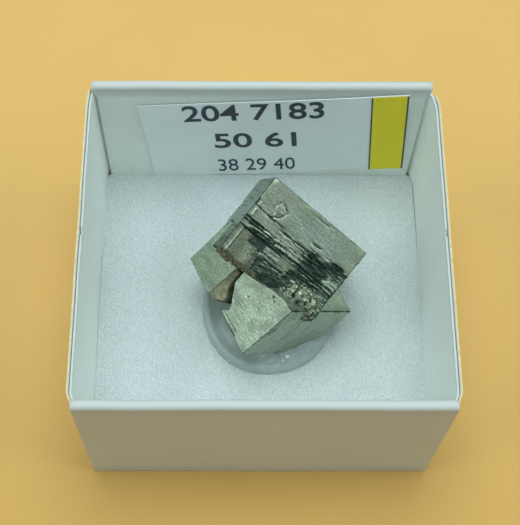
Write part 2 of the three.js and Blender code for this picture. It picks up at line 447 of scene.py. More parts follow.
def floor_finish():
    """Plain pale sand-coloured sheet, with painted shade towards the front."""
    tone = colours().floor
    front_shade_tone = tuple(share * channel for share, channel in zip((0.66, 0.62, 0.42), tone))
    finish = Finish("floor_sheet", Specular_IOR_Level=0.2)
    clouds = finish.noise(0.045, 3)
    fine = finish.noise(2.5, 3)
    base = finish.mix(clouds.above(0.5, 0.3), shade(tone, 0.97), shade(tone, 1.02))
    # painted shade: darker towards the front
    base = finish.mix(finish.attribute("near"), base, front_shade_tone)
    finish.set(Base_Color=finish.mix(fine.above(0.5, 0.3) * 0.3, base, shade(tone, 0.95)))
    finish.set(Roughness=0.6 + 0.1 * fine, Normal=finish.bump(fine, 0.02, 0.25))
    return finish.material


# ---------------------------------------------------------------- modelling helpers


def deselect_all():
    if bpy.context.mode != "OBJECT":
        bpy.ops.object.mode_set(mode="OBJECT")
    bpy.ops.object.select_all(action="DESELECT")


def added(name):
    """The primitive that was just added, named."""
    piece = bpy.context.active_object
    piece.name = name
    piece.data.name = name
    return piece


def coordinates(piece):
    """A piece's vertices as an array of rows x, y, z."""
    flat = np.zeros(len(piece.data.vertices) * 3)
    piece.data.vertices.foreach_get("co", flat)
    return flat.reshape(-1, 3)


def move_to(piece, places):
    piece.data.vertices.foreach_set("co", places.ravel())
    piece.data.update()


def pick(piece, kind, test):
    """In edit mode, selects only the vertices, edges or faces whose middle passes a test."""
    bpy.ops.object.mode_set(mode="OBJECT")
    mesh = piece.data
    bpy.context.tool_settings.mesh_select_mode = (kind == "VERT", kind == "EDGE", kind == "FACE")
    for group in (mesh.vertices, mesh.edges, mesh.polygons):
        group.foreach_set("select", [False] * len(group))
    if kind == "VERT":
        for vertex in mesh.vertices:
            vertex.select = test(vertex.co)
    else:
        for part in mesh.edges if kind == "EDGE" else mesh.polygons:
            middle = sum((mesh.vertices[i].co for i in part.vertices), Vector()) / len(part.vertices)
            part.select = test(middle)
    bpy.ops.object.mode_set(mode="EDIT")


def extrude(step):
    bpy.ops.mesh.extrude_region_move(TRANSFORM_OT_translate={"value": step})


def apply_modifier(piece, kind, **settings):
    modifier = piece.modifiers.new(kind.lower(), kind)
    for name, value in settings.items():
        setattr(modifier, name, value)
    bpy.context.view_layer.objects.active = piece
    bpy.ops.object.modifier_apply(modifier=modifier.name)


def grid(name, columns, rows, low, high):
    """A flat sheet of square cells in X and Y, between two corners."""
    deselect_all()
    bpy.ops.mesh.primitive_grid_add(x_subdivisions=columns, y_subdivisions=rows, size=1)
    piece = added(name)
    places = coordinates(piece)
    for axis in (0, 1):
        places[:, axis] = low[axis] + (places[:, axis] + 0.5) * (high[axis] - low[axis])
    move_to(piece, places)
    return piece


def cut_block(name, low, high, cuts):
    """A block between two corners, its faces divided finely enough to carry a relief."""
    deselect_all()
    bpy.ops.mesh.primitive_cube_add(size=1)
    piece = added(name)
    places = coordinates(piece)
    move_to(piece, np.array(low) + (places + 0.5) * (np.array(high) - np.array(low)))
    bpy.ops.object.mode_set(mode="EDIT")
    bpy.ops.mesh.select_all(action="SELECT")
    bpy.ops.mesh.subdivide(number_cuts=cuts)
    bpy.ops.object.mode_set(mode="OBJECT")
    return piece


def paint(piece, name, values):
    """Stores one number, or one vector, for each vertex."""
    kind = "FLOAT" if values.ndim == 1 else "FLOAT_VECTOR"
    layer = piece.data.attributes.new(name, kind, "POINT")
    layer.data.foreach_set("value" if values.ndim == 1 else "vector", values.astype(np.float32).ravel())


def join(pieces, name):
    deselect_all()
    for piece in pieces:
        piece.select_set(True)
    bpy.context.view_layer.objects.active = pieces[0]
    bpy.ops.object.join()
    return added(name)


def settle(piece, nodes, materials, pose=None, smooth_angle=35):
    """Brings a piece from millimetres to its place, and ties it to the frame."""
    deselect_all()
    piece.select_set(True)
    bpy.context.view_layer.objects.active = piece
    bpy.ops.object.mode_set(mode="EDIT")
    bpy.ops.mesh.select_all(action="SELECT")
    bpy.ops.mesh.normals_make_consistent(inside=False)
    bpy.ops.object.mode_set(mode="OBJECT")
    piece.data.transform(Matrix.Scale(MM, 4) @ (pose or Matrix.Identity(4)))
    if smooth_angle:
        bpy.ops.object.shade_smooth_by_angle(angle=math.radians(smooth_angle))
    if not piece.data.materials:
        for material in materials:
            piece.data.materials.append(material)
    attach(piece, "root")
    if nodes:
        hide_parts(*nodes)
    return piece


def ripple(places, scale, seed=0.0):
    """Smooth noise from -1 to 1 for each row of an array of places."""
    scales = np.broadcast_to(np.asarray(scale, float), (3,))
    offset = Vector((seed * 7.3, seed * 3.1, seed * 5.7))
    return np.array([noise.noise(Vector(row) + offset) for row in (places * scales).tolist()])


def step_up(value, start, end):
    """0 before start, 1 after end, smooth between."""
    share = np.clip((value - start) / (end - start), 0, 1)
    return share * share * (3 - 2 * share)


def window(value, start, end, soft):
    """1 between start and end, fading over soft on both sides."""
    return step_up(value, start - soft, start + soft) * (1 - step_up(value, end - soft, end + soft))


def bell(value, middle, width):
    """1 at the middle, falling to nothing within about two widths on both sides."""
    return np.exp(-(((value - middle) / width) ** 2))


def quarter_round(over_first, over_second):
    """Which points lie past both lines of a corner, and what pulls each in to its quarter circle."""
    corner = (over_first > 0) & (over_second > 0)
    square = np.where(corner, np.maximum(over_first, over_second), 1)
    return corner, np.where(corner, square / np.maximum(np.hypot(over_first, over_second), 0.001), 1)


# ---------------------------------------------------------------- tray


def bent_card(name, columns, profile, half_width):
    """A sheet of card along X, folded over a profile of (y, z) points."""
    piece = grid(name, columns, 1, (-half_width, 0), (half_width, 1))
    places = coordinates(piece)
    first = places[:, 1] < 0.5
    places[:, 2] = np.where(first, profile[0][1], profile[1][1])
    places[:, 1] = np.where(first, profile[0][0], profile[1][0])
    move_to(piece, places)
    edge = Vector((0, *profile[1]))
    pick(piece, "EDGE", lambda m: abs(m.y - edge.y) < 0.01 and abs(m.z - edge.z) < 0.01)
    for before, after in zip(profile[1:], profile[2:]):
        extrude((0, after[0] - before[0], after[1] - before[1]))
    bpy.ops.object.mode_set(mode="OBJECT")
    return piece


def thicken(piece, thickness):
    """Gives a sheet the card's thickness, with its raw edges in their own finish."""
    piece.data.materials.append(bpy.data.materials["card_face"])
    piece.data.materials.append(bpy.data.materials["card_cut_edge"])
    apply_modifier(
        piece, "SOLIDIFY", thickness=thickness, offset=0, use_even_offset=True, material_offset_rim=1
    )
    apply_modifier(
        piece, "BEVEL", width=thickness * 0.16, segments=2, limit_method="ANGLE", angle_limit=1.0
    )


def end_wall(name, side, nodes):
    """Outer ply, rolled rim and lining of one end, as one folded sheet."""
    card = sizes().card / MM
    roll = sizes().roll / MM
    outer_y = TRAY_HIGH.y - card / 2
    crown = TRAY_HIGH.z - roll / 2
    radius = roll / 2 - card / 2
    middle_y = outer_y - radius
    levels = 14
    foot = card * 1.3
    skirt = 0.5
    profile = [(outer_y, 0), (outer_y, skirt)]
    profile += [(outer_y, skirt + (crown - skirt) * i / levels) for i in range(1, levels + 1)]
    turns = 9
    for i in range(1, turns):
        angle = math.pi * i / turns
        profile.append((middle_y + radius * math.cos(angle), crown + radius * math.sin(angle)))
    inner_y = middle_y - radius
    profile += [(inner_y, crown + (foot - crown) * i / levels) for i in range(levels + 1)]
    profile = [(side * y, z) for y, z in profile]
    half_width = CORNER_STAND - 0.05
    piece = bent_card(name, 84, profile, half_width)
    places = coordinates(piece)
    x, y, z = places.T
    share = x / half_width
    lining = step_up(middle_y - np.abs(y), 0.1, 0.25) * (1 - step_up(z, crown - 0.6, crown))
    x = x * (1 - lining * (1 - LINING_END / half_width))
    wave = ripple(np.stack([x, z * 0.6, y * 0.2], 1), 0.09, 2 + side)
    lean = (0.2 + 0.14 * share if side > 0 else 0.02) * (z / TRAY_HIGH.z) ** 2
    y = y + side * (0.07 * wave * (1 - share ** 4) + lean)
    crest = step_up(z, TRAY_HIGH.z - 3, TRAY_HIGH.z)
    z = z + 0.06 * crest * ripple(np.stack([x, y * 0, y * 0], 1), 0.3, 5 + side)
    z = z - 0.16 * crest * step_up(np.abs(share), 0.982, 1.0)
    move_to(piece, np.stack([x, y, z], 1))
    thicken(piece, card)
    places = coordinates(piece)
    # painted light on the lining inside the tray, and painted shade on the rolled rim
    painted_light_inside = step_up(middle_y - np.abs(places[:, 1]), 0.0, 0.3)
    paint(piece, "inside", painted_light_inside * (1 - step_up(places[:, 2], crown - 0.9, crown)))
    paint(piece, "rim", step_up(places[:, 2], crown - 0.5, crown + 0.1))
    for face in piece.data.polygons:
        if abs(face.center.y) > middle_y and face.center.z < crown:
            face.material_index = 0
    return settle(piece, nodes, [], smooth_angle=40)


def wall_stand(along, height, side):
    """Distance from the tray's middle to a side wall's outer face, which bulges between its corners."""
    front = step_up(along - TRAY_LOW.y, 0.3, 2.4)
    back = step_up(TRAY_HIGH.y - along, 0.2, 3.2)
    corner = CORNER_STAND + (BACK_STAND - CORNER_STAND) * step_up(along, 0, 0.8 * TRAY_HIGH.y)
    rim = RIM_STAND[side] + (0.16 * along / TRAY_HIGH.y if side > 0 else 0)
    swell = front * back * step_up(height, -0.5, 3.5) * (sizes().belly / MM / 0.5)
    wave = 0.05 * ripple(np.stack([along, height, along * 0], 1), 0.13, 3 + side)
    return corner + (rim - corner + wave) * swell


def rounded_corner(along, height, end, top, radius):
    """Pulls the points near one top corner of a wall in to a quarter circle."""
    facing = math.copysign(1, end)
    over_y = along * facing - (abs(end) - radius)
    over_z = height - (top - radius)
    corner, pull = quarter_round(over_y, over_z)
    along = np.where(corner, facing * (abs(end) - radius + over_y * pull), along)
    return along, np.where(corner, top - radius + over_z * pull, height)


def side_wall(name, side, nodes):
    """Outer ply of one side, its top a raw cut edge with rounded corners."""
    card = sizes().inner_card / MM
    low, high = extent(nodes[0])
    ends = (low.y + card * 1.7, high.y - card * 1.7)
    piece = grid(name, 130, 66, (ends[0], low.z), (ends[1], high.z))
    places = coordinates(piece)
    along, height = places[:, 0].copy(), places[:, 1].copy()
    along, height = rounded_corner(along, height, ends[0], high.z, 1.1)
    along, height = rounded_corner(along, height, ends[1], high.z, 1.9 if side > 0 else 0.8)
    across = side * (wall_stand(along, height, side) - card / 2)
    edge = step_up(height, high.z - 1, high.z)
    height = height + 0.05 * edge * ripple(np.stack([along, along * 0, along * 0], 1), 0.5, 9)
    move_to(piece, np.stack([across, along, height], 1))
    thicken(piece, card)
    return settle(piece, nodes, [], smooth_angle=40)


def glue_flap(name, side_x, side_y, nodes):
    """Inner ply of half a side wall: it turns off the end wall in a soft fold, up to mid length."""
    card = sizes().inner_card / MM
    low, high = extent(nodes[0])
    fold_radius = 0.8
    corner = TRAY_HIGH.y - card * 2.5
    end = side_y * (TRAY_HIGH.y - card * 2)
    seam = (extent("glue_flap_back_left")[0].y + extent("glue_flap_front_left")[1].y) / 2
    near = seam + side_y * 0.03
    flat = abs(end - near) - fold_radius
    total = flat + fold_radius * math.pi / 2
    top = high.z - 0.25
    piece = grid(name, 76, 60, (0, low.z), (total, top))
    places = coordinates(piece)
    run, height = places[:, 0].copy(), places[:, 1].copy()
    angle = np.clip((run - flat) / fold_radius, 0, math.pi / 2)
    along = near + side_y * (np.minimum(run, flat) + fold_radius * np.sin(angle))
    inset = fold_radius * (1 - np.cos(angle))
    across = side_x * (wall_stand(along, height, side_x) - card * 1.75 - inset)
    notch = 0.55 * (1 - step_up(run, 0, 0.5)) * step_up(height, top - 1.5, top)
    edge = step_up(height, top - 1, top)
    height = height - notch + 0.05 * edge * ripple(np.stack([along, along * 0, along * 0], 1), 0.6, 4)
    move_to(piece, np.stack([across, np.clip(along, -corner, corner), height], 1))
    thicken(piece, card)
    # painted light on the inner ply, left out along its top edge
    paint(piece, "inside", 1 - step_up(coordinates(piece)[:, 2], top - 0.6, top - 0.2))
    for face in piece.data.polygons:
        face.material_index = 0
    return settle(piece, nodes, [], smooth_angle=40)


def tray_floor():
    """Floor card of the tray."""
    low, high = extent("base_panel")
    card = high.z - low.z
    piece = grid("tray_floor", 40, 40, low, high)
    places = coordinates(piece)
    sag = 0.05 * ripple(places, 0.1, 6)
    places[:, 2] = low.z + card / 2 + 0.05 + 0.5 * np.abs(sag)
    move_to(piece, places)
    thicken(piece, card)
    return settle(piece, ["base_panel"], [], smooth_angle=40)


# ---------------------------------------------------------------- foam, gum and label


def foam_liner():
    """Foam sheet: a grid with a granular crust, rolled edges and a soft swell."""
    # the foam is pressed against the card, past the pad's own box
    press_x, press_y, right_stretch = 0.76, 0.36, 0.011
    half_x, half_y = PAD_HIGH.x + press_x, PAD_HIGH.y + press_y
    piece = grid("foam_liner", 250, 234, (-half_x, -half_y), (half_x, half_y))
    thickness = PAD_HIGH.z - PAD_LOW.z
    pick(piece, "EDGE", lambda m: half_x - abs(m.x) < 0.01 or half_y - abs(m.y) < 0.01)
    first_drop, second_drop = 0.2, 0.35
    for drop in (first_drop, second_drop, thickness - (first_drop + second_drop)):
        extrude((0, 0, -drop))
    bpy.ops.mesh.edge_face_add()
    bpy.ops.object.mode_set(mode="OBJECT")
    places = coordinates(piece)
    x, y, z = places.T
    radius = 0.9
    over_x = np.abs(x) - (half_x - radius)
    over_y = np.abs(y) - (half_y - radius)
    corner, pull = quarter_round(over_x, over_y)
    x = np.where(corner, np.sign(x) * (half_x - radius + over_x * pull), x)
    y = np.where(corner, np.sign(y) * (half_y - radius + over_y * pull), y)
    top = z > -0.01
    flat = np.stack([x, y, y * 0], 1)
    edge = np.minimum(half_x - np.abs(x), half_y - np.abs(y))
    grain = sizes().foam_grain / MM
    crust = grain * (0.8 * np.abs(ripple(flat, 2.6, 1)) + 0.6 * ripple(flat, (4.6, 6.4, 1), 2))
    crust = crust + 0.05 * ripple(flat, 0.22, 3)
    lift = np.where(top, crust - 0.04 * (1 - step_up(edge, 0, 0.35)) - 0.03, 0)
    squeeze = 0.08 * ripple(np.stack([x, y, z], 1), 0.35, 4) * np.where(top, 0, 1)
    x = x * (1 + right_stretch * step_up(x, 0, half_x))
    side_squeeze = 1 + squeeze / 20
    move_to(piece, np.stack([x * side_squeeze, y * side_squeeze, PAD_HIGH.z + z + lift], 1))
    settle(piece, ["foam_pad"], [foam_finish()], smooth_angle=60)
    return piece


def turned_about(x, y, centre, direction):
    """Distances from a centre, along a direction and across it."""
    off_x, off_y = x - centre[0], y - centre[1]
    return off_x * direction[0] + off_y * direction[1], off_y * direction[0] - off_x * direction[1]


def gum_disc():
    """Flattened gum disc with a pressed ring, squeezed up round the crystals' feet."""
    middle = (GUM_LOW + GUM_HIGH) / 2
    radius = (GUM_HIGH.x - GUM_LOW.x) / 2
    deselect_all()
    bpy.ops.mesh.primitive_cylinder_add(vertices=160, radius=radius, depth=1, end_fill_type="NGON")
    piece = added("gum_disc")
    pick(piece, "FACE", lambda m: m.z > 0.49)
    bpy.ops.mesh.inset(thickness=0.12)
    for width in (0.14, 0.2, 0.25, *[0.28] * 24):
        bpy.ops.mesh.inset(thickness=width)
    bpy.ops.mesh.poke()
    bpy.ops.object.mode_set(mode="OBJECT")
    places = coordinates(piece)
    x, y, z = places.T
    reach = np.hypot(x, y)
    angle = np.arctan2(y, x)
    wobble = 1 + 0.008 * np.sin(3 * angle + 1) + 0.006 * np.sin(5 * angle)
    x, y = x * wobble + middle.x, y * wobble + middle.y
    top = z > 0
    flat = np.stack([x, y, y * 0], 1)
    ring = 0.14 * bell(reach, radius * 0.93, 0.35) - 0.16 * bell(reach, radius * 0.8, 0.5)
    # gum squeezed up round the lower crystal's foot, and the wet folds beside it
    along, across = turned_about(x, y, (4.6, -5.1), (0.86, 0.5))
    mound = 1.6 * bell(along, 0, 3.4) * bell(across, 0, 1.9) * (1 - step_up(reach, radius - 1.2, radius))
    run, beside = turned_about(x, y, (6.2, -6.3), (0.82, 0.57))
    spill = np.exp(-((run / 3.6) ** 4) - (beside / 1.1) ** 2)
    wet = np.clip(step_up(mound, 0.01, 0.3) + spill, 0, 1) * (1 - step_up(reach, radius - 0.35, radius))
    folds = ripple(np.stack([run * 0.45, beside * 1.7, run * 0], 1), 1, 3)
    smear = wet * (0.1 + 0.42 * folds + 0.12 * ripple(flat, (1.8, 3.2, 1), 4))
    rim_drop = 0.5 * step_up(reach, radius - 0.35, radius) ** 2
    level = GUM_HIGH.z + ring + mound + smear + 0.03 * ripple(flat, 0.7, 5) - rim_drop
    move_to(piece, np.stack([x, y, np.where(top, level, GUM_LOW.z)], 1))
    paint(piece, "wet", wet)
    paint(piece, "thick", step_up(reach, radius * 0.72, radius * 0.86) * (1 - 0.6 * wet))
    return settle(piece, ["adhesive_disc"], [gum_finish()], smooth_angle=50)


def label_pose():
    """Places label work, drawn flat in X and Y, upright behind the pad and tilted to the right."""
    middle = (LABEL_LOW + LABEL_HIGH) / 2
    tilt = Matrix.Rotation(math.radians(-4.7), 4, "Y")
    return Matrix.Translation(middle) @ tilt @ Matrix.Rotation(math.radians(90), 4, "X")


def cockle(places):
    """Slight waviness of the paper, for the sheet and what is printed on it."""
    x, y, z = places.T
    lift = 0.06 * np.sin(x * 0.21 + 0.6) + 0.05 * np.sin(y * 0.3 + x * 0.11)
    return np.stack([x, y, z + lift], 1)


def paper_label():
    """Paper label with a slight cockle."""
    half = (LABEL_WIDTH / 2, LABEL_HEIGHT / 2)
    piece = grid("paper_label", 60, 32, (-half[0], -half[1]), half)
    move_to(piece, cockle(coordinates(piece)))
    apply_modifier(piece, "SOLIDIFY", thickness=0.09, offset=-1)
    apply_modifier(piece, "BEVEL", width=0.02, segments=1, limit_method="ANGLE", angle_limit=1.0)
    return settle(piece, ["label_card"], [paper_finish()], label_pose(), 40)


def printed_patch(name, low, high, lift, material):
    """A thin printed area that follows the paper."""
    cell = 0.5
    columns = max(2, round((high[0] - low[0]) / cell))
    piece = grid(name, columns, 34, low, high)
    places = cockle(coordinates(piece))
    places[:, 2] += lift
    move_to(piece, places)
    apply_modifier(piece, "SOLIDIFY", thickness=0.03, offset=1)
    return settle(piece, [], [material], label_pose(), 40)


def printed_number(name, digits, centre, width, height, weight, material):
    """A line of digits, stretched to a width and a height."""
    deselect_all()
    bpy.ops.object.text_add()
    text = bpy.context.active_object
    text.data.body = digits
    text.data.offset = weight
    text.data.extrude = 0.012
    text.data.align_x = "CENTER"
    text.data.align_y = "CENTER"
    bpy.ops.object.convert(target="MESH")
    piece = added(name)
    places = coordinates(piece)
    low, high = places.min(0), places.max(0)
    scale = np.array([width / (high[0] - low[0]), height / (high[1] - low[1]), 1])
    places = (places - (low + high) / 2) * scale + np.array([*centre, 0])
    places = cockle(places)
    places[:, 2] += 0.03
    move_to(piece, places)
    return settle(piece, [], [material], label_pose(), 40)


# ---------------------------------------------------------------- crystals


def crystal_pose(corner, turn):
    """Turns a crystal, and puts the corner that it is drawn from in its place."""
    return Matrix.Translation(Vector(millimetres(corner))) @ Euler(turn, "ZYX").to_matrix().to_4x4()


def upper_pose():
    return crystal_pose(sizes().upper_corner, sizes().upper_turn)


def lower_pose():
    return crystal_pose(sizes().lower_corner, sizes().lower_turn)


def worn_round(places, lattice, low, high, radius):
    """Rounds a block's edges: its shaped points move as the points of the plain block would."""
    low, high = np.array(low), np.array(high)
    core = np.clip(lattice, low + radius, high - radius)
    out = lattice - core
    length = np.linalg.norm(out, axis=1)
    deepest = np.abs(out).max(axis=1)
    factor = np.where(length > 1e-6, deepest / np.maximum(length, 1e-6), 1)
    return places + (core + out * factor[:, None]) - lattice


def paint_lattice(piece, lattice, face):
    """Stores the plain block's places for the finish, length and depth exchanged off the main face."""
    paint(piece, "lattice", np.where(face[:, None] > 0.5, lattice, lattice[:, [2, 1, 0]]))


def edge_line(lattice, low, high, width):
    """How close each point of a block is to one of its edges, broken up along the edge."""
    gaps = np.concatenate([lattice - np.array(low), np.array(high) - lattice], axis=1)
    second = np.sort(gaps, axis=1)[:, 1]
    return bell(second, 0, width) * (0.75 + 0.5 * ripple(lattice, 0.9, 17))


def stretch_marks(x, y, marks):
    """Sum of soft strokes along X. Each mark is (start, end, y, half width, height)."""
    total = np.zeros_like(x)
    for start, end, line, width, height in marks:
        bend = line + 0.06 * np.sin(x * 1.7 + line * 3)
        total += height * window(x, start, end, 0.25) * bell(y, bend, width)
    return total


def upper_face_relief(x, y, flat):
    """Depth, etching and rust of the upper crystal's main face."""
    jag = 0.16 * ripple(flat, (1.1, 3.0, 1), 1) + 0.08 * ripple(flat, (3.1, 6.0, 1), 2)
    depth = 0.02 * ripple(flat, 0.4, 3) + 0.012 * ripple(flat, (1.2, 6, 1), 4)
    etch = np.zeros_like(x)
    rust = np.zeros_like(x)
    # long terraces, each a little lower than the one before
    terraces = [
        (-3.9, 0.11, 0.2, 4.6), (-4.35, 0.1, 4.3, 12), (-5.35, 0.16, -1, 3.3), (-5.75, 0.14, -1, 5.5),
        (-6.15, 0.16, 1.6, 14), (-6.55, 0.14, -1, 14), (-7.6, 0.12, 3.8, 9.0),
    ]
    for line, fall, start, end in terraces:
        lies = window(x, start, end, 0.7)
        brink = line + jag * 0.8
        depth -= fall * lies * step_up(brink - y, -0.03, 0.09)
        etch += 0.85 * lies * bell(y, brink - 0.02, 0.075)
    # sunken smooth field at the lower left, with a bevelled strip along the side
    field = window(x, 0.85, 4.15, 0.12) * (1 - step_up(y, -6.75 + 0.05 * x, -6.5 + 0.05 * x))
    depth -= 0.22 * field
    rust += 0.55 * field
    etch += field * (0.22 + 0.16 * ripple(flat, 0.9, 8) + 0.36 * step_up(x + 0.15 * y, 1.2, 3.2))
    strip = (1 - step_up(x, 0.6, 0.8)) * (1 - step_up(y, -6.95, -6.7))
    ridge = bell(x, 0.78, 0.07) * (1 - step_up(y, -6.9, -6.7))
    depth += 0.12 * ridge - 0.06 * strip
    etch += 0.35 * strip * (1 - ridge)
    # dark pitted ground
    dashes = ripple(flat, (0.8, 4.4, 1), 6) + 0.4 * ripple(flat, (2.4, 4.6, 1), 7)
    slope = np.interp(x, [7.6, 8.4, 10.4, 11.6, 12.0, 13.6], [-6.4, -3.5, -3.9, -3.3, -3.1, -3.4])
    right_field = step_up(x, 7.6, 9.2) * (1 - step_up(y, slope - 0.3, slope + 0.2))
    right_field *= 1 - 0.35 * window(x, 12.1, 13.7, 0.2) * window(y, -6.4, -4.8, 0.3)
    low_field = window(x, 4.2, 8.4, 0.15) * (1 - step_up(y, -8.25, -7.95))
    teal_field = window(x, 2.1, 6.2, 0.3) * window(y, -7.7, -6.2, 0.2)
    bottom_field = step_up(x, 7.4, 8.4) * (1 - step_up(y, -7.1, -6.6))
    core = window(x, 10.2, 13.0, 0.5) * window(y, -4.9, -3.2, 0.3)
    ground = right_field * 0.75 + core * 0.3 + low_field + teal_field * 0.5 + bottom_field * 0.9
    ground = np.clip(ground, 0, 1)
    ground *= 1 - 0.42 * step_up(x, 11.4, 12.6) * (1 - step_up(y, -5.8, -5.0))
    pits = ground * step_up(dashes, -0.1, 0.3)
    depth -= 0.11 * pits + 0.2 * low_field + 0.08 * bottom_field
    etch += ground * (0.62 + 0.36 * step_up(dashes, -0.3, 0.3))
    # flecks over the middle of the face
    middle_field = window(x, 0.0, 8.2, 0.5) * window(y, -6.6, -5.3, 0.15)
    middle_field += window(x, 4.2, 11.5, 0.6) * window(y, -6.3, -4.2, 0.3)
    middle_field = np.clip(middle_field, 0, 1)
    flecks = middle_field * step_up(dashes, 0.0, 0.4)
    depth -= 0.08 * flecks
    etch += 0.22 * middle_field + 0.36 * flecks
    # bright raised strokes and dark slashes
    bright = stretch_marks(x, y, [
        (6.5, 8.5, -4.45, 0.09, 1), (4.3, 5.7, -4.68, 0.07, 0.8), (4.6, 6.1, -7.75, 0.16, 0.8),
        (6.0, 8.2, -6.0, 0.09, 0.7), (5.3, 7.9, -8.25, 0.09, 1), (9.6, 12.3, -7.8, 0.08, 0.7),
        (0.1, 2.4, -5.6, 0.07, 0.8), (8.1, 9.1, -3.6, 0.08, 0.6), (9.0, 12.0, -6.75, 0.08, 0.5),
    ])
    dark = stretch_marks(x, y, [
        (8.0, 9.4, -3.1, 0.1, 1), (6.4, 8.6, -4.27, 0.07, 0.9), (0.2, 4.0, -3.95, 0.05, 0.6),
        (11.6, 13.0, -3.4, 0.1, 1), (11.7, 12.8, -4.0, 0.4, 1), (0.0, 2.0, -5.45, 0.09, 1),
        (6.6, 8.4, -0.5, 0.06, 0.6), (4.8, 7.6, -8.05, 0.1, 1), (9.2, 12.0, -5.05, 0.1, 0.8),
    ])
    depth += 0.09 * bright - 0.12 * dark
    etch = np.clip(etch + dark, 0, 1) * (1 - np.clip(bright, 0, 1) * 0.95)
    # brown patch in the middle of the lower half
    patch = window(x, 6.2, 7.8, 0.3) * window(y, -7.8, -6.35, 0.35)
    rust += 0.7 * patch * (0.75 + 0.5 * ripple(flat, 2.0, 9))
    etch *= 1 - 0.6 * patch
    # lozenge: a low raised growth with a dark outline
    corners = [(2.45, -1.65), (3.7, -2.4), (3.35, -3.35), (2.5, -3.85), (2.05, -2.7)]
    inside = np.full_like(x, 9.0)
    for (x0, y0), (x1, y1) in zip(corners, corners[1:] + corners[:1]):
        run = math.hypot(x1 - x0, y1 - y0)
        inside = np.minimum(inside, -((x - x0) * -(y1 - y0) + (y - y0) * (x1 - x0)) / run)
    inside += 0.05 * ripple(flat, 3.0, 11)
    outline = bell(inside, 0, 0.085) * (0.55 + 0.9 * np.abs(ripple(flat, 2.2, 12)))
    within = step_up(inside, 0.0, 0.2)
    depth += 0.05 * within - 0.1 * outline + 0.05 * within * ripple(flat, 2.4, 13)
    etch += 0.85 * outline + 0.5 * within * step_up(ripple(flat, 2.8, 14), 0.1, 0.4)
    # nick at the side edge
    nick = bell(x, 0.15, 0.16) * window(y, -3.9, -3.1, 0.1)
    etch += 0.8 * nick
    depth -= 0.12 * nick
    glint = window(x, 0.45, 0.68, 0.05) * window(y, -5.15, -4.05, 0.08)
    etch *= 1 - glint
    depth += 0.12 * glint * np.clip((x - 0.35) / 0.3, 0, 1)
    # faint brown along the top, and a blue-green tint
    rust += 0.1 * window(x, 9.2, 14, 1.0) * window(y, -1.4, 0.2, 0.5)
    cool = window(x, 5.4, 12.3, 1.2) * window(y, -3.6, -0.7, 0.6)
    cool += 0.8 * window(x, 2.0, 6.5, 0.6) * window(y, -7.9, -6.2, 0.4)
    cool += 0.6 * window(x, 12.0, 13.8, 0.3) * window(y, -7, -4.6, 0.4)
    return depth, np.clip(etch, 0, 1), np.clip(rust, 0, 1), np.clip(cool, 0, 1)


def upper_pyrite():
    """Long upper crystal: terraced face, dark pitted ground, lozenge growth and striated sides."""
    length, width, deep = millimetres(sizes().upper_size)
    low, high = (0, -width, -deep), (length, 0, 0)
    piece = cut_block("upper_pyrite", low, high, 124)
    lattice = coordinates(piece)
    x, y, z = lattice.T.copy()
    flat = np.stack([x, y, x * 0], 1)
    depth, etch, rust, cool = upper_face_relief(x, y, flat)
    sink = np.clip(1 + z / 2.2, 0, 1)
    face = step_up(z, -0.1, -0.02)
    # terraces of the side face, running down from the main face
    side = np.stack([x * 0, y, z], 1)
    grooves = 0.04 * ripple(side, (1, 1.5, 0.12), 21) + 0.025 * ripple(side, (1, 5.2, 0.25), 22)
    for line, fall in [(-3.05, 0.05), (-6.4, 0.06), (-8.6, 0.07)]:
        grooves += fall * (1 - step_up(y + 0.05 * ripple(side, (1, 1, 0.3), 23), line, line + 0.1))
    near_side = np.clip(1 - x / 2.5, 0, 1)
    on_side = 1 - step_up(x, 0.02, 0.08)
    x = x + near_side * grooves * step_up(-z, -0.2, 0.3)
    side_etch = on_side * (0.12 + step_up(ripple(side, (1, 3.4, 0.22), 24), 0.1, 0.5) * 0.4)
    # far faces
    far = np.stack([x, y, z], 1)
    under = np.clip(-(y + width * 0.55) / (width * 0.45), 0, 1) * (1 - face)
    y = y + under * (0.22 * ripple(far, (0.5, 0.4, 2.2), 31) + 0.12 * ripple(far, (1.5, 1, 5), 32))
    right = np.clip((x - length * 0.85) / (length * 0.15), 0, 1)
    x = x + right * (0.1 * ripple(far, (1, 2.4, 0.5), 33) - 0.12)
    top = np.clip((y + 1.2) / 1.2, 0, 1)
    y = y + top * (0.05 * ripple(far, (0.6, 1, 3), 34) - 0.04)
    z = z + depth * sink - 0.25 * np.clip(-(z + deep * 0.8) / (deep * 0.2), 0, 1) * ripple(far, 0.5, 35)
    placed = np.stack([x, y, z], 1)
    chipped_corner = np.array([0.0, -0.1, 0.0])
    placed[:, 2] -= 0.16 * bell(np.linalg.norm(placed - chipped_corner, axis=1), 0, 0.4)
    move_to(piece, worn_round(placed, lattice, low, high, 0.09))
    off_face = 1 - face
    under_etch = off_face * under * step_up(ripple(far, (0.8, 1, 2.5), 36), -0.1, 0.3)
    paint_lattice(piece, lattice, face)
    # painted shade: dark lines along the block's edges
    edges = 1.2 * edge_line(lattice, low, high, 0.11)
    etch = face * etch + off_face * (side_etch + 0.8 * under_etch) + edges
    paint(piece, "etch", np.clip(etch, 0, 1))
    paint(piece, "rust", np.clip(face * rust + off_face * under * 0.5, 0, 1))
    # painted shade over the main face, with some mottling, and under the crystal
    paint(piece, "dim", face * (0.46 + 0.3 * ripple(flat, (0.35, 0.7, 1), 18)) + 0.2 * under)
    paint(piece, "cool", np.clip(face * cool + 0.7 * on_side, 0, 1))
    # the brightness scale paints this crystal darker: painted shade
    finish = pyrite_finish("upper_pyrite", 0.86, 0.2)
    return settle(piece, ["upper_crystal"], [finish], upper_pose(), 32)


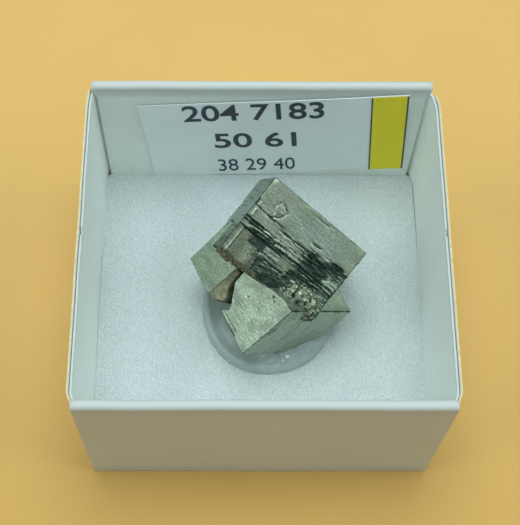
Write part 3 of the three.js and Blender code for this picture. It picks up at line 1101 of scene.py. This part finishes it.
def lower_pyrite():
    """Lower crystal: striated face painted bright as a painted reflection, broken left side, and a foot
    rounded into the gum.
    """
    length, width, deep = millimetres(sizes().lower_size)
    low, high = (-length, -width, -deep), (0, 0, 0)
    piece = cut_block("lower_pyrite", low, high, 112)
    lattice = coordinates(piece)
    x, y, z = lattice.T.copy()
    face = step_up(z, -0.1, -0.02)
    # the left side is a break: its distance from the near edge changes along the crystal
    break_line = np.interp(
        -y, [0, 2.6, 3.3, 5.0, 6.3, 7.25, 8.3, width], [7.9, 7.75, 7.6, 6.75, 5.95, 5.55, 6.0, 6.2]
    )
    rough = np.stack([x * 0, y, z], 1)
    break_line = break_line + 0.12 * ripple(rough, (1, 1.6, 0.8), 41)
    break_line = break_line + 0.22 * ripple(rough, (1, 0.6, 0.4), 42) * (1 - face)
    x = x * break_line / length
    # striations of the bright face run along X
    flat = np.stack([x, y, x * 0], 1)
    strength = 0.25 + 0.75 * (1 - step_up(y, -5.2, -4.2))
    depth = 0.018 * ripple(flat, (0.35, 5.2, 1), 43) * strength + 0.03 * ripple(flat, 0.45, 44)
    lines = stretch_marks(x, y, [
        (-5.6, -4.1, -4.85, 0.05, 0.9), (-6.2, -4.0, -5.3, 0.05, 0.8), (-6.4, -3.9, -5.6, 0.05, 0.6),
        (-5.9, -3.9, -5.95, 0.06, 0.9), (-2.2, -0.1, -6.45, 0.06, 0.6), (-5.4, -2.8, -8.32, 0.09, 1),
        (-4.2, -2.3, -8.75, 0.06, 1), (-3.2, -1.4, -7.7, 0.06, 0.5), (-2.0, -0.1, -7.3, 0.05, 0.5),
        (-6.0, -3.5, -6.9, 0.05, 0.5), (-2.6, -0.5, -4.95, 0.05, 0.6), (-3.8, -1.8, -5.5, 0.05, 0.4),
    ])
    terraces = 0.05 * step_up(-y, 8.25, 8.4) * window(x, -5.6, -2.6, 0.4)
    terraces += 0.06 * step_up(-y, 5.9, 6.0) * window(x, -6.4, -3.7, 0.4)
    depth -= 0.07 * lines + terraces
    holes = np.zeros_like(x)
    pin_holes = [
        (-5.15, -3.35, 0.16), (-3.1, -3.6, 0.13), (-2.5, -1.15, 0.15), (-2.95, -0.75, 0.2),
        (-3.5, -2.9, 0.08), (-1.9, -2.2, 0.07), (-4.4, -2.3, 0.07), (-1.2, -3.9, 0.07),
    ]
    for hole_x, hole_y, radius in pin_holes:
        holes += bell(x, hole_x, radius) * bell(y, hole_y, radius)
    depth -= 0.12 * holes
    scores = 0.22 * step_up(ripple(flat, (0.8, 7, 1), 45), 0.2, 0.5) * strength
    etch = np.clip(0.9 * lines + 0.9 * holes + scores, 0, 1)
    # painted shade: dark line along the ridge of the face
    rim = bell(x, 0, 0.1) * 0.4
    # the upper crystal's underside cuts across its upper end
    limit = np.interp(-x, [0, 1.2, 2.8, 5.0, 7.6], [0.0, -0.12, -0.55, -1.75, -3.25])
    limit = limit * np.clip(1 + z / 3.2, 0, 1)
    y = limit + y * (width + limit) / width
    # shaded front face and foot
    front = np.clip(1 + x / 1.5, 0, 1)
    shaded = np.stack([x * 0, y, z], 1)
    x = x - front * (1 - face) * (0.04 + 0.04 * ripple(shaded, (1, 0.35, 1.6), 46))
    foot = np.interp(
        -y, [0, 2, 4, 5.5, 6.5, 7.6, 8.6, width], [11.5, 11.7, 11.7, 11.2, 10.5, 9.4, 7.8, 7.2]
    )
    foot = foot + 0.15 * ripple(np.stack([x, y, y * 0], 1), 0.9, 47)
    z = z * foot / deep
    # the front face is darkened by etch streaks, partly as painted shade
    front_etch_and_shade = front * (1 - face) * (0.2 + 0.3 * step_up(ripple(shaded, (1, 0.4, 2.2), 48), 0.0, 0.6))
    broken = (1 - step_up(x + break_line, 0.05, 0.3)) * (1 - face)
    z = z + depth * np.clip(1 + z / 2.0, 0, 1)
    move_to(piece, worn_round(np.stack([x, y, z], 1), lattice, low, high, 0.1))
    paint_lattice(piece, lattice, face)
    # painted shade: dark lines along the block's edges
    edges = 1.1 * edge_line(lattice, low, high, 0.1)
    smudge = step_up(ripple(flat, (0.7, 0.5, 1), 40) + 0.4 * ripple(flat, 2.2, 39), -0.2, 0.5)
    # painted shade on the front face, and mottling on the main face
    paint(piece, "dim", 0.6 * front * (1 - face) + 0.55 * face * smudge)
    paint(piece, "etch", np.clip(face * (etch + rim) + front_etch_and_shade + 0.9 * broken + edges, 0, 1))
    rust = 0.12 * face * step_up(ripple(flat, 0.5, 49), 0.0, 0.4) + 0.7 * broken
    paint(piece, "rust", np.clip(rust, 0, 1))
    paint(piece, "cool", 0.2 * face + 0.35 * front * (1 - face))
    # the brightness scale paints this face brighter: painted reflection of the white card wall
    finish = pyrite_finish("pyrite_painted_bright", 1.24, 0.22)
    settle(piece, ["lower_crystal"], [finish], lower_pose(), 32)
    press_flat(piece, GUM_LOW.z + 0.25)
    return piece


def press_flat(piece, level):
    """Flattens what would reach below a level, where a crystal sits in the gum."""
    places = coordinates(piece)
    places[:, 2] = np.maximum(places[:, 2], level * MM)
    move_to(piece, places)


def left_pyrite():
    """Left crystal: smooth dull face, with a hairline and a fractured inner side."""
    length, width, deep = millimetres(sizes().left_size)
    near_x = -8.82
    far_y = -9.5
    low, high = (near_x - length, far_y, -deep), (near_x, far_y + width, 0)
    piece = cut_block("left_pyrite", low, high, 84)
    lattice = coordinates(piece)
    x, y, z = lattice.T.copy()
    face = step_up(z, -0.1, -0.02)
    flat = np.stack([x, y, x * 0], 1)
    depth = 0.03 * ripple(flat, 0.5, 51) + 0.012 * ripple(flat, (0.6, 5, 1), 52)
    hair = bell(x - 0.9 * (y + 5.9), -10.5, 0.05) * window(y, -6.3, -4.9, 0.2) * 0.6
    line = window(x, -11.4, -9.2, 0.3) * bell(y + 0.05 * x, -5.75, 0.05) * 0.5
    etch = hair * 0.5 + line + 0.5 * bell(x, near_x, 0.1) * window(y, -9.3, -5.6, 0.3)
    depth -= 0.05 * (hair + line)
    flakes = np.stack([x * 0, y, z], 1)
    inner = np.clip((x - near_x + 1.2) / 1.2, 0, 1) * (1 - face)
    x = x + inner * (0.25 * ripple(flakes, (1, 0.9, 0.7), 53) + 0.1 * ripple(flakes, (1, 2.5, 2), 54) - 0.1)
    lattice_sides = np.stack([x, y, z], 1)
    y = y + (1 - face) * np.clip((far_y + 1 - y), 0, 1) * 0.06 * ripple(lattice_sides, (0.5, 1, 2.5), 55)
    uneven_foot = 0.3 * np.clip(-(z + deep * 0.8) / 1.4, 0, 1) * ripple(flat, 0.6, 56)
    z = z + depth * np.clip(1 + z / 2.0, 0, 1) - uneven_foot
    move_to(piece, worn_round(np.stack([x, y, z], 1), lattice, low, high, 0.08))
    paint_lattice(piece, lattice, face)
    # painted shade: dark lines along the block's edges
    edges = 1.1 * edge_line(lattice, low, high, 0.1)
    smudge = step_up(ripple(flat, (0.5, 0.9, 1), 50), -0.2, 0.6)
    # painted shade on the side faces, and mottling on the main face
    paint(piece, "dim", 0.1 * (1 - face) + 0.4 * face * smudge)
    paint(piece, "etch", np.clip(face * etch + 0.3 * inner + edges, 0, 1))
    paint(piece, "rust", np.clip(0.1 * face + 0.95 * inner, 0, 1))
    paint(piece, "cool", 0.35 * face)
    # the brightness scale is a painted light level for this crystal
    finish = pyrite_finish("dull_pyrite", 0.96, 0.3)
    return settle(piece, ["left_crystal"], [finish], lower_pose(), 32)


def grain_template():
    """One small many-faced crystal with bevelled edges."""
    deselect_all()
    bpy.ops.mesh.primitive_ico_sphere_add(subdivisions=1, radius=1)
    grain = added("grain")
    apply_modifier(grain, "BEVEL", width=0.22, segments=1, limit_method="NONE")
    return grain


def loose_grain(template, rng, spot, size):
    """A copy of the small crystal with its own mesh, at a spot and turned at random."""
    grain = template.copy()
    grain.data = template.data.copy()
    bpy.context.collection.objects.link(grain)
    turn = Euler([rng.uniform(0, math.tau) for _ in range(3)]).to_matrix().to_4x4()
    stretch = Matrix.Diagonal((size, size * rng.uniform(0.75, 1.2), size * rng.uniform(0.75, 1.2), 1))
    grain.data.transform(Matrix.Translation(spot) @ turn @ stretch)
    return grain


def granular_crust():
    """Crust of small grown crystals, thickest over its middle."""
    rng = random.Random(11)
    template = grain_template()
    deselect_all()
    bpy.ops.mesh.primitive_ico_sphere_add(subdivisions=5, radius=1)
    core = added("granular_crust")
    places = coordinates(core)
    swell = 1 + 0.14 * ripple(places, 2.2, 61) + 0.1 * ripple(places, 5.0, 62)
    middle = np.array([11.15, -9.1, -1.45])
    radii = np.array([2.95, 2.15, 2.0])
    move_to(core, places * swell[:, None] * radii * 0.93 + middle)
    grains = [core]
    lowest = -0.35
    while len(grains) < GRAIN_COUNT:
        direction = Vector((rng.gauss(0, 1), rng.gauss(0, 1), rng.gauss(0, 1))).normalized()
        if direction.z < lowest:
            continue
        size = rng.uniform(0.07, 0.17) * (1.0 if rng.random() < 0.9 else 1.8)
        spot = Vector([direction[i] * radii[i] * rng.uniform(0.92, 1.02) + middle[i] for i in range(3)])
        grains.append(loose_grain(template, rng, spot, size))
    bpy.data.objects.remove(template)
    piece = join(grains, "granular_crust")
    return settle(piece, ["granular_patch"], [granular_finish()], upper_pose(), 20)


def brown_rock():
    """Brown rock wedged between the lower crystals, with crumbs under the upper crystal's edge."""
    rng = random.Random(5)
    low, high = (-8.95, -9.3, -6.6), (-6.1, -4.1, -0.02)
    piece = cut_block("brown_rock", low, high, 56)
    lattice = coordinates(piece)
    x, y, z = lattice.T.copy()
    right_line = np.interp(
        -y, [4.1, 5.0, 5.9, 6.6, 7.2, 8.2, 9.3], [-8.15, -7.9, -7.6, -6.95, -6.3, -6.6, -8.0]
    )
    across = (x - low[0]) / (high[0] - low[0])
    x = low[0] + across * (right_line - low[0])
    upper = np.clip(1 + (z - high[2]) / 4, 0, 1)
    ledge = 0.68 + 0.1 * np.sin(y * 2.1)
    cleft = step_up(across, ledge, ledge + 0.16) * window(y, -8.6, -5.0, 0.5)
    z = z - upper * (0.12 * (x - low[0]) + 1.5 * cleft)
    rough = np.stack([x, y, z], 1)
    flakes = np.round(ripple(rough, 0.9, 71) * 3.5) / 3.5
    shift = 0.07 * flakes + 0.07 * ripple(rough, 1.6, 72) + 0.04 * ripple(rough, 5, 73)
    places = worn_round(rough, lattice, low, high, 0.16)
    heart = np.array([-7.6, -6.8, -3.6])
    away = places - heart
    away /= np.linalg.norm(away, axis=1)[:, None]
    move_to(piece, places + away * shift[:, None])
    # painted shade in the cleft
    paint(piece, "cleft", cleft * upper)
    template = grain_template()
    crumb_shade = 0.58
    # painted shade: the crumbs under the upper crystal's edge are darkened
    paint(template, "cleft", np.full(len(template.data.vertices), crumb_shade))
    parts = [piece]
    # the crumbs are placed from the upper crystal's lower edge, and brought to the rock's own axes
    upper_edge = -sizes().upper_size[1] / MM
    to_rock = lower_pose().inverted() @ upper_pose()
    while len(parts) < CRUMB_COUNT:
        along = rng.uniform(0.1, 5.2)
        reach = 0.75 - 0.12 * abs(along - 1.6)
        spot = Vector((along, upper_edge - rng.uniform(-0.1, reach), rng.uniform(-1.3, -0.1)))
        parts.append(loose_grain(template, rng, to_rock @ spot, rng.uniform(0.07, 0.21)))
    bpy.data.objects.remove(template)
    piece = join(parts, "brown_rock")
    return settle(piece, ["brown_matrix"], [rock_finish()], lower_pose(), 28)


# ---------------------------------------------------------------- operators


class SPECIMEN_OT_tray(bpy.types.Operator):
    """Fold the card tray: two rolled end walls, two side walls, four glue flaps and the floor"""

    bl_idname = "specimen.tray"
    bl_label = "Card tray"

    def execute(self, context):
        card_finish()
        cut_edge_finish()
        tray_floor()
        end_wall("end_wall_front", -1, ["front_panel", "front_lining"])
        end_wall("end_wall_back", 1, ["back_panel", "back_lining"])
        for side, word in ((-1, "left"), (1, "right")):
            side_wall(f"side_wall_{word}", side, [f"{word}_panel"])
            for end, name in ((-1, "front"), (1, "back")):
                glue_flap(f"flap_{name}_{word}", side, end, [f"glue_flap_{name}_{word}"])
        return {"FINISHED"}


class SPECIMEN_OT_foam(bpy.types.Operator):
    """Lay the foam liner in the tray"""

    bl_idname = "specimen.foam"
    bl_label = "Foam liner"

    def execute(self, context):
        foam_liner()
        return {"FINISHED"}


class SPECIMEN_OT_label(bpy.types.Operator):
    """Set up the number label with its yellow band"""

    bl_idname = "specimen.label"
    bl_label = "Label"

    def execute(self, context):
        ink = print_finish("ink", colours().ink, 1.8)
        band = print_finish("yellow_band", colours().band, 1.1)
        paper_label()
        low, high = -LABEL_HEIGHT / 2, LABEL_HEIGHT / 2 - 0.15
        patches = (
            ("label_band", 11.95, 16.12, 0.02, band),
            ("label_line_left", 11.82, 11.99, 0.04, ink),
            ("label_line_right", 16.08, 16.28, 0.04, ink),
        )
        for name, left, right, lift, finish in patches:
            printed_patch(name, (left, low), (right, high), lift, finish)
        numbers = (
            ("label_number_top", "204 7183", (-2.45, 6.35), 17.2, 3.55, 0.014),
            ("label_number_middle", "50 61", (-2.6, -0.1), 10.4, 3.5, 0.014),
            ("label_number_low", "38 29 40", (-2.8, -6.15), 10.0, 2.9, 0.0),
        )
        for name, digits, centre, width, height, weight in numbers:
            printed_number(name, digits, centre, width, height, weight, ink)
        return {"FINISHED"}


class SPECIMEN_OT_gum(bpy.types.Operator):
    """Press the gum disc onto the foam"""

    bl_idname = "specimen.gum"
    bl_label = "Gum disc"

    def execute(self, context):
        gum_disc()
        return {"FINISHED"}


class SPECIMEN_OT_crystals(bpy.types.Operator):
    """Grow the three crystals"""

    bl_idname = "specimen.crystals"
    bl_label = "Crystals"

    def execute(self, context):
        upper_pyrite()
        lower_pyrite()
        left_pyrite()
        return {"FINISHED"}


class SPECIMEN_OT_crust(bpy.types.Operator):
    """Grow the granular crust on the upper crystal"""

    bl_idname = "specimen.crust"
    bl_label = "Granular crust"

    def execute(self, context):
        granular_crust()
        return {"FINISHED"}


class SPECIMEN_OT_rock(bpy.types.Operator):
    """Set the brown rock between the crystals"""

    bl_idname = "specimen.rock"
    bl_label = "Brown rock"

    def execute(self, context):
        brown_rock()
        return {"FINISHED"}


def soft_light(name, place, target, size, power, tint):
    deselect_all()
    bpy.ops.object.light_add(type="AREA", location=place)
    light = bpy.context.active_object
    light.name = name
    light.data.shape = "DISK"
    light.data.size = size
    light.data.energy = power
    light.data.color = tint
    light.rotation_euler = (Vector(target) - Vector(place)).to_track_quat("-Z", "Y").to_euler()
    return light


class SPECIMEN_OT_stage(bpy.types.Operator):
    """Set the floor, the soft lights and the camera"""

    bl_idname = "specimen.stage"
    bl_label = "Stage"

    def execute(self, context):
        deselect_all()
        bpy.ops.mesh.primitive_grid_add(x_subdivisions=150, y_subdivisions=150, size=3)
        floor = added("floor")
        places = coordinates(floor)
        # painted shade on the floor towards the front
        paint(floor, "near", 1 - step_up(places[:, 1], -0.065, 0.02))
        floor.data.materials.append(floor_finish())
        world = bpy.data.worlds.new("studio")
        world.use_nodes = True
        sky = world.node_tree.nodes["Background"]
        sky.inputs["Color"].default_value = (0.84, 0.95, 1.0, 1)
        sky.inputs["Strength"].default_value = 0.24
        context.scene.world = world
        centre = (0, 0, 0.01)
        soft_light("overhead", (0.0, 0.09, 0.55), centre, 0.36, 1.85, DAYLIGHT)
        soft_light("left_fill", (-0.4, -0.07, 0.4), centre, 0.4, 0.85, DAYLIGHT)
        soft_light("right_fill", (0.4, -0.05, 0.4), centre, 0.4, 0.9, DAYLIGHT)
        forward = Vector((0.02335, 0.42867, -0.90316)).normalized()
        right = Vector((0.99972, -0.00599, 0.02300)).normalized()
        upward = right.cross(forward)
        stand = Vector((-3.377, -57.027, 136.734)) * MM
        axes = Matrix((right, upward, -forward)).transposed().to_4x4()
        deselect_all()
        bpy.ops.object.camera_add()
        camera = bpy.context.active_object
        camera.name = "camera"
        camera.matrix_world = Matrix.Translation(stand) @ axes
        camera.data.lens = 78.59
        camera.data.sensor_width = 36
        camera.data.clip_start = 0.005
        context.scene.camera = camera
        context.scene.view_settings.view_transform = "Standard"
        return {"FINISHED"}


class SPECIMEN_PT_panel(bpy.types.Panel):
    """Lists the pieces and their settings"""

    bl_idname = "SPECIMEN_PT_panel"
    bl_label = "Specimen tray"
    bl_space_type = "VIEW_3D"
    bl_region_type = "UI"
    bl_category = "Specimen"

    def draw(self, context):
        layout = self.layout
        for operator in OPERATORS:
            layout.operator(operator.bl_idname)
        for group in (context.scene.specimen_sizes, context.scene.specimen_colours):
            box = layout.box()
            for name in group.__annotations__:
                box.prop(group, name)


OPERATORS = (
    SPECIMEN_OT_tray,
    SPECIMEN_OT_foam,
    SPECIMEN_OT_label,
    SPECIMEN_OT_gum,
    SPECIMEN_OT_crystals,
    SPECIMEN_OT_crust,
    SPECIMEN_OT_rock,
    SPECIMEN_OT_stage,
)
CLASSES = (SPECIMEN_PG_sizes, SPECIMEN_PG_colours, *OPERATORS, SPECIMEN_PT_panel)


def register():
    for item in CLASSES:
        bpy.utils.register_class(item)
    bpy.types.Scene.specimen_sizes = bpy.props.PointerProperty(type=SPECIMEN_PG_sizes)
    bpy.types.Scene.specimen_colours = bpy.props.PointerProperty(type=SPECIMEN_PG_colours)


def unregister():
    del bpy.types.Scene.specimen_sizes
    del bpy.types.Scene.specimen_colours
    for item in reversed(CLASSES):
        bpy.utils.unregister_class(item)


def main():
    register()
    for operator in OPERATORS:
        getattr(bpy.ops.specimen, operator.bl_idname.split(".")[1])()
    deselect_all()


if __name__ == "__main__":
    main()
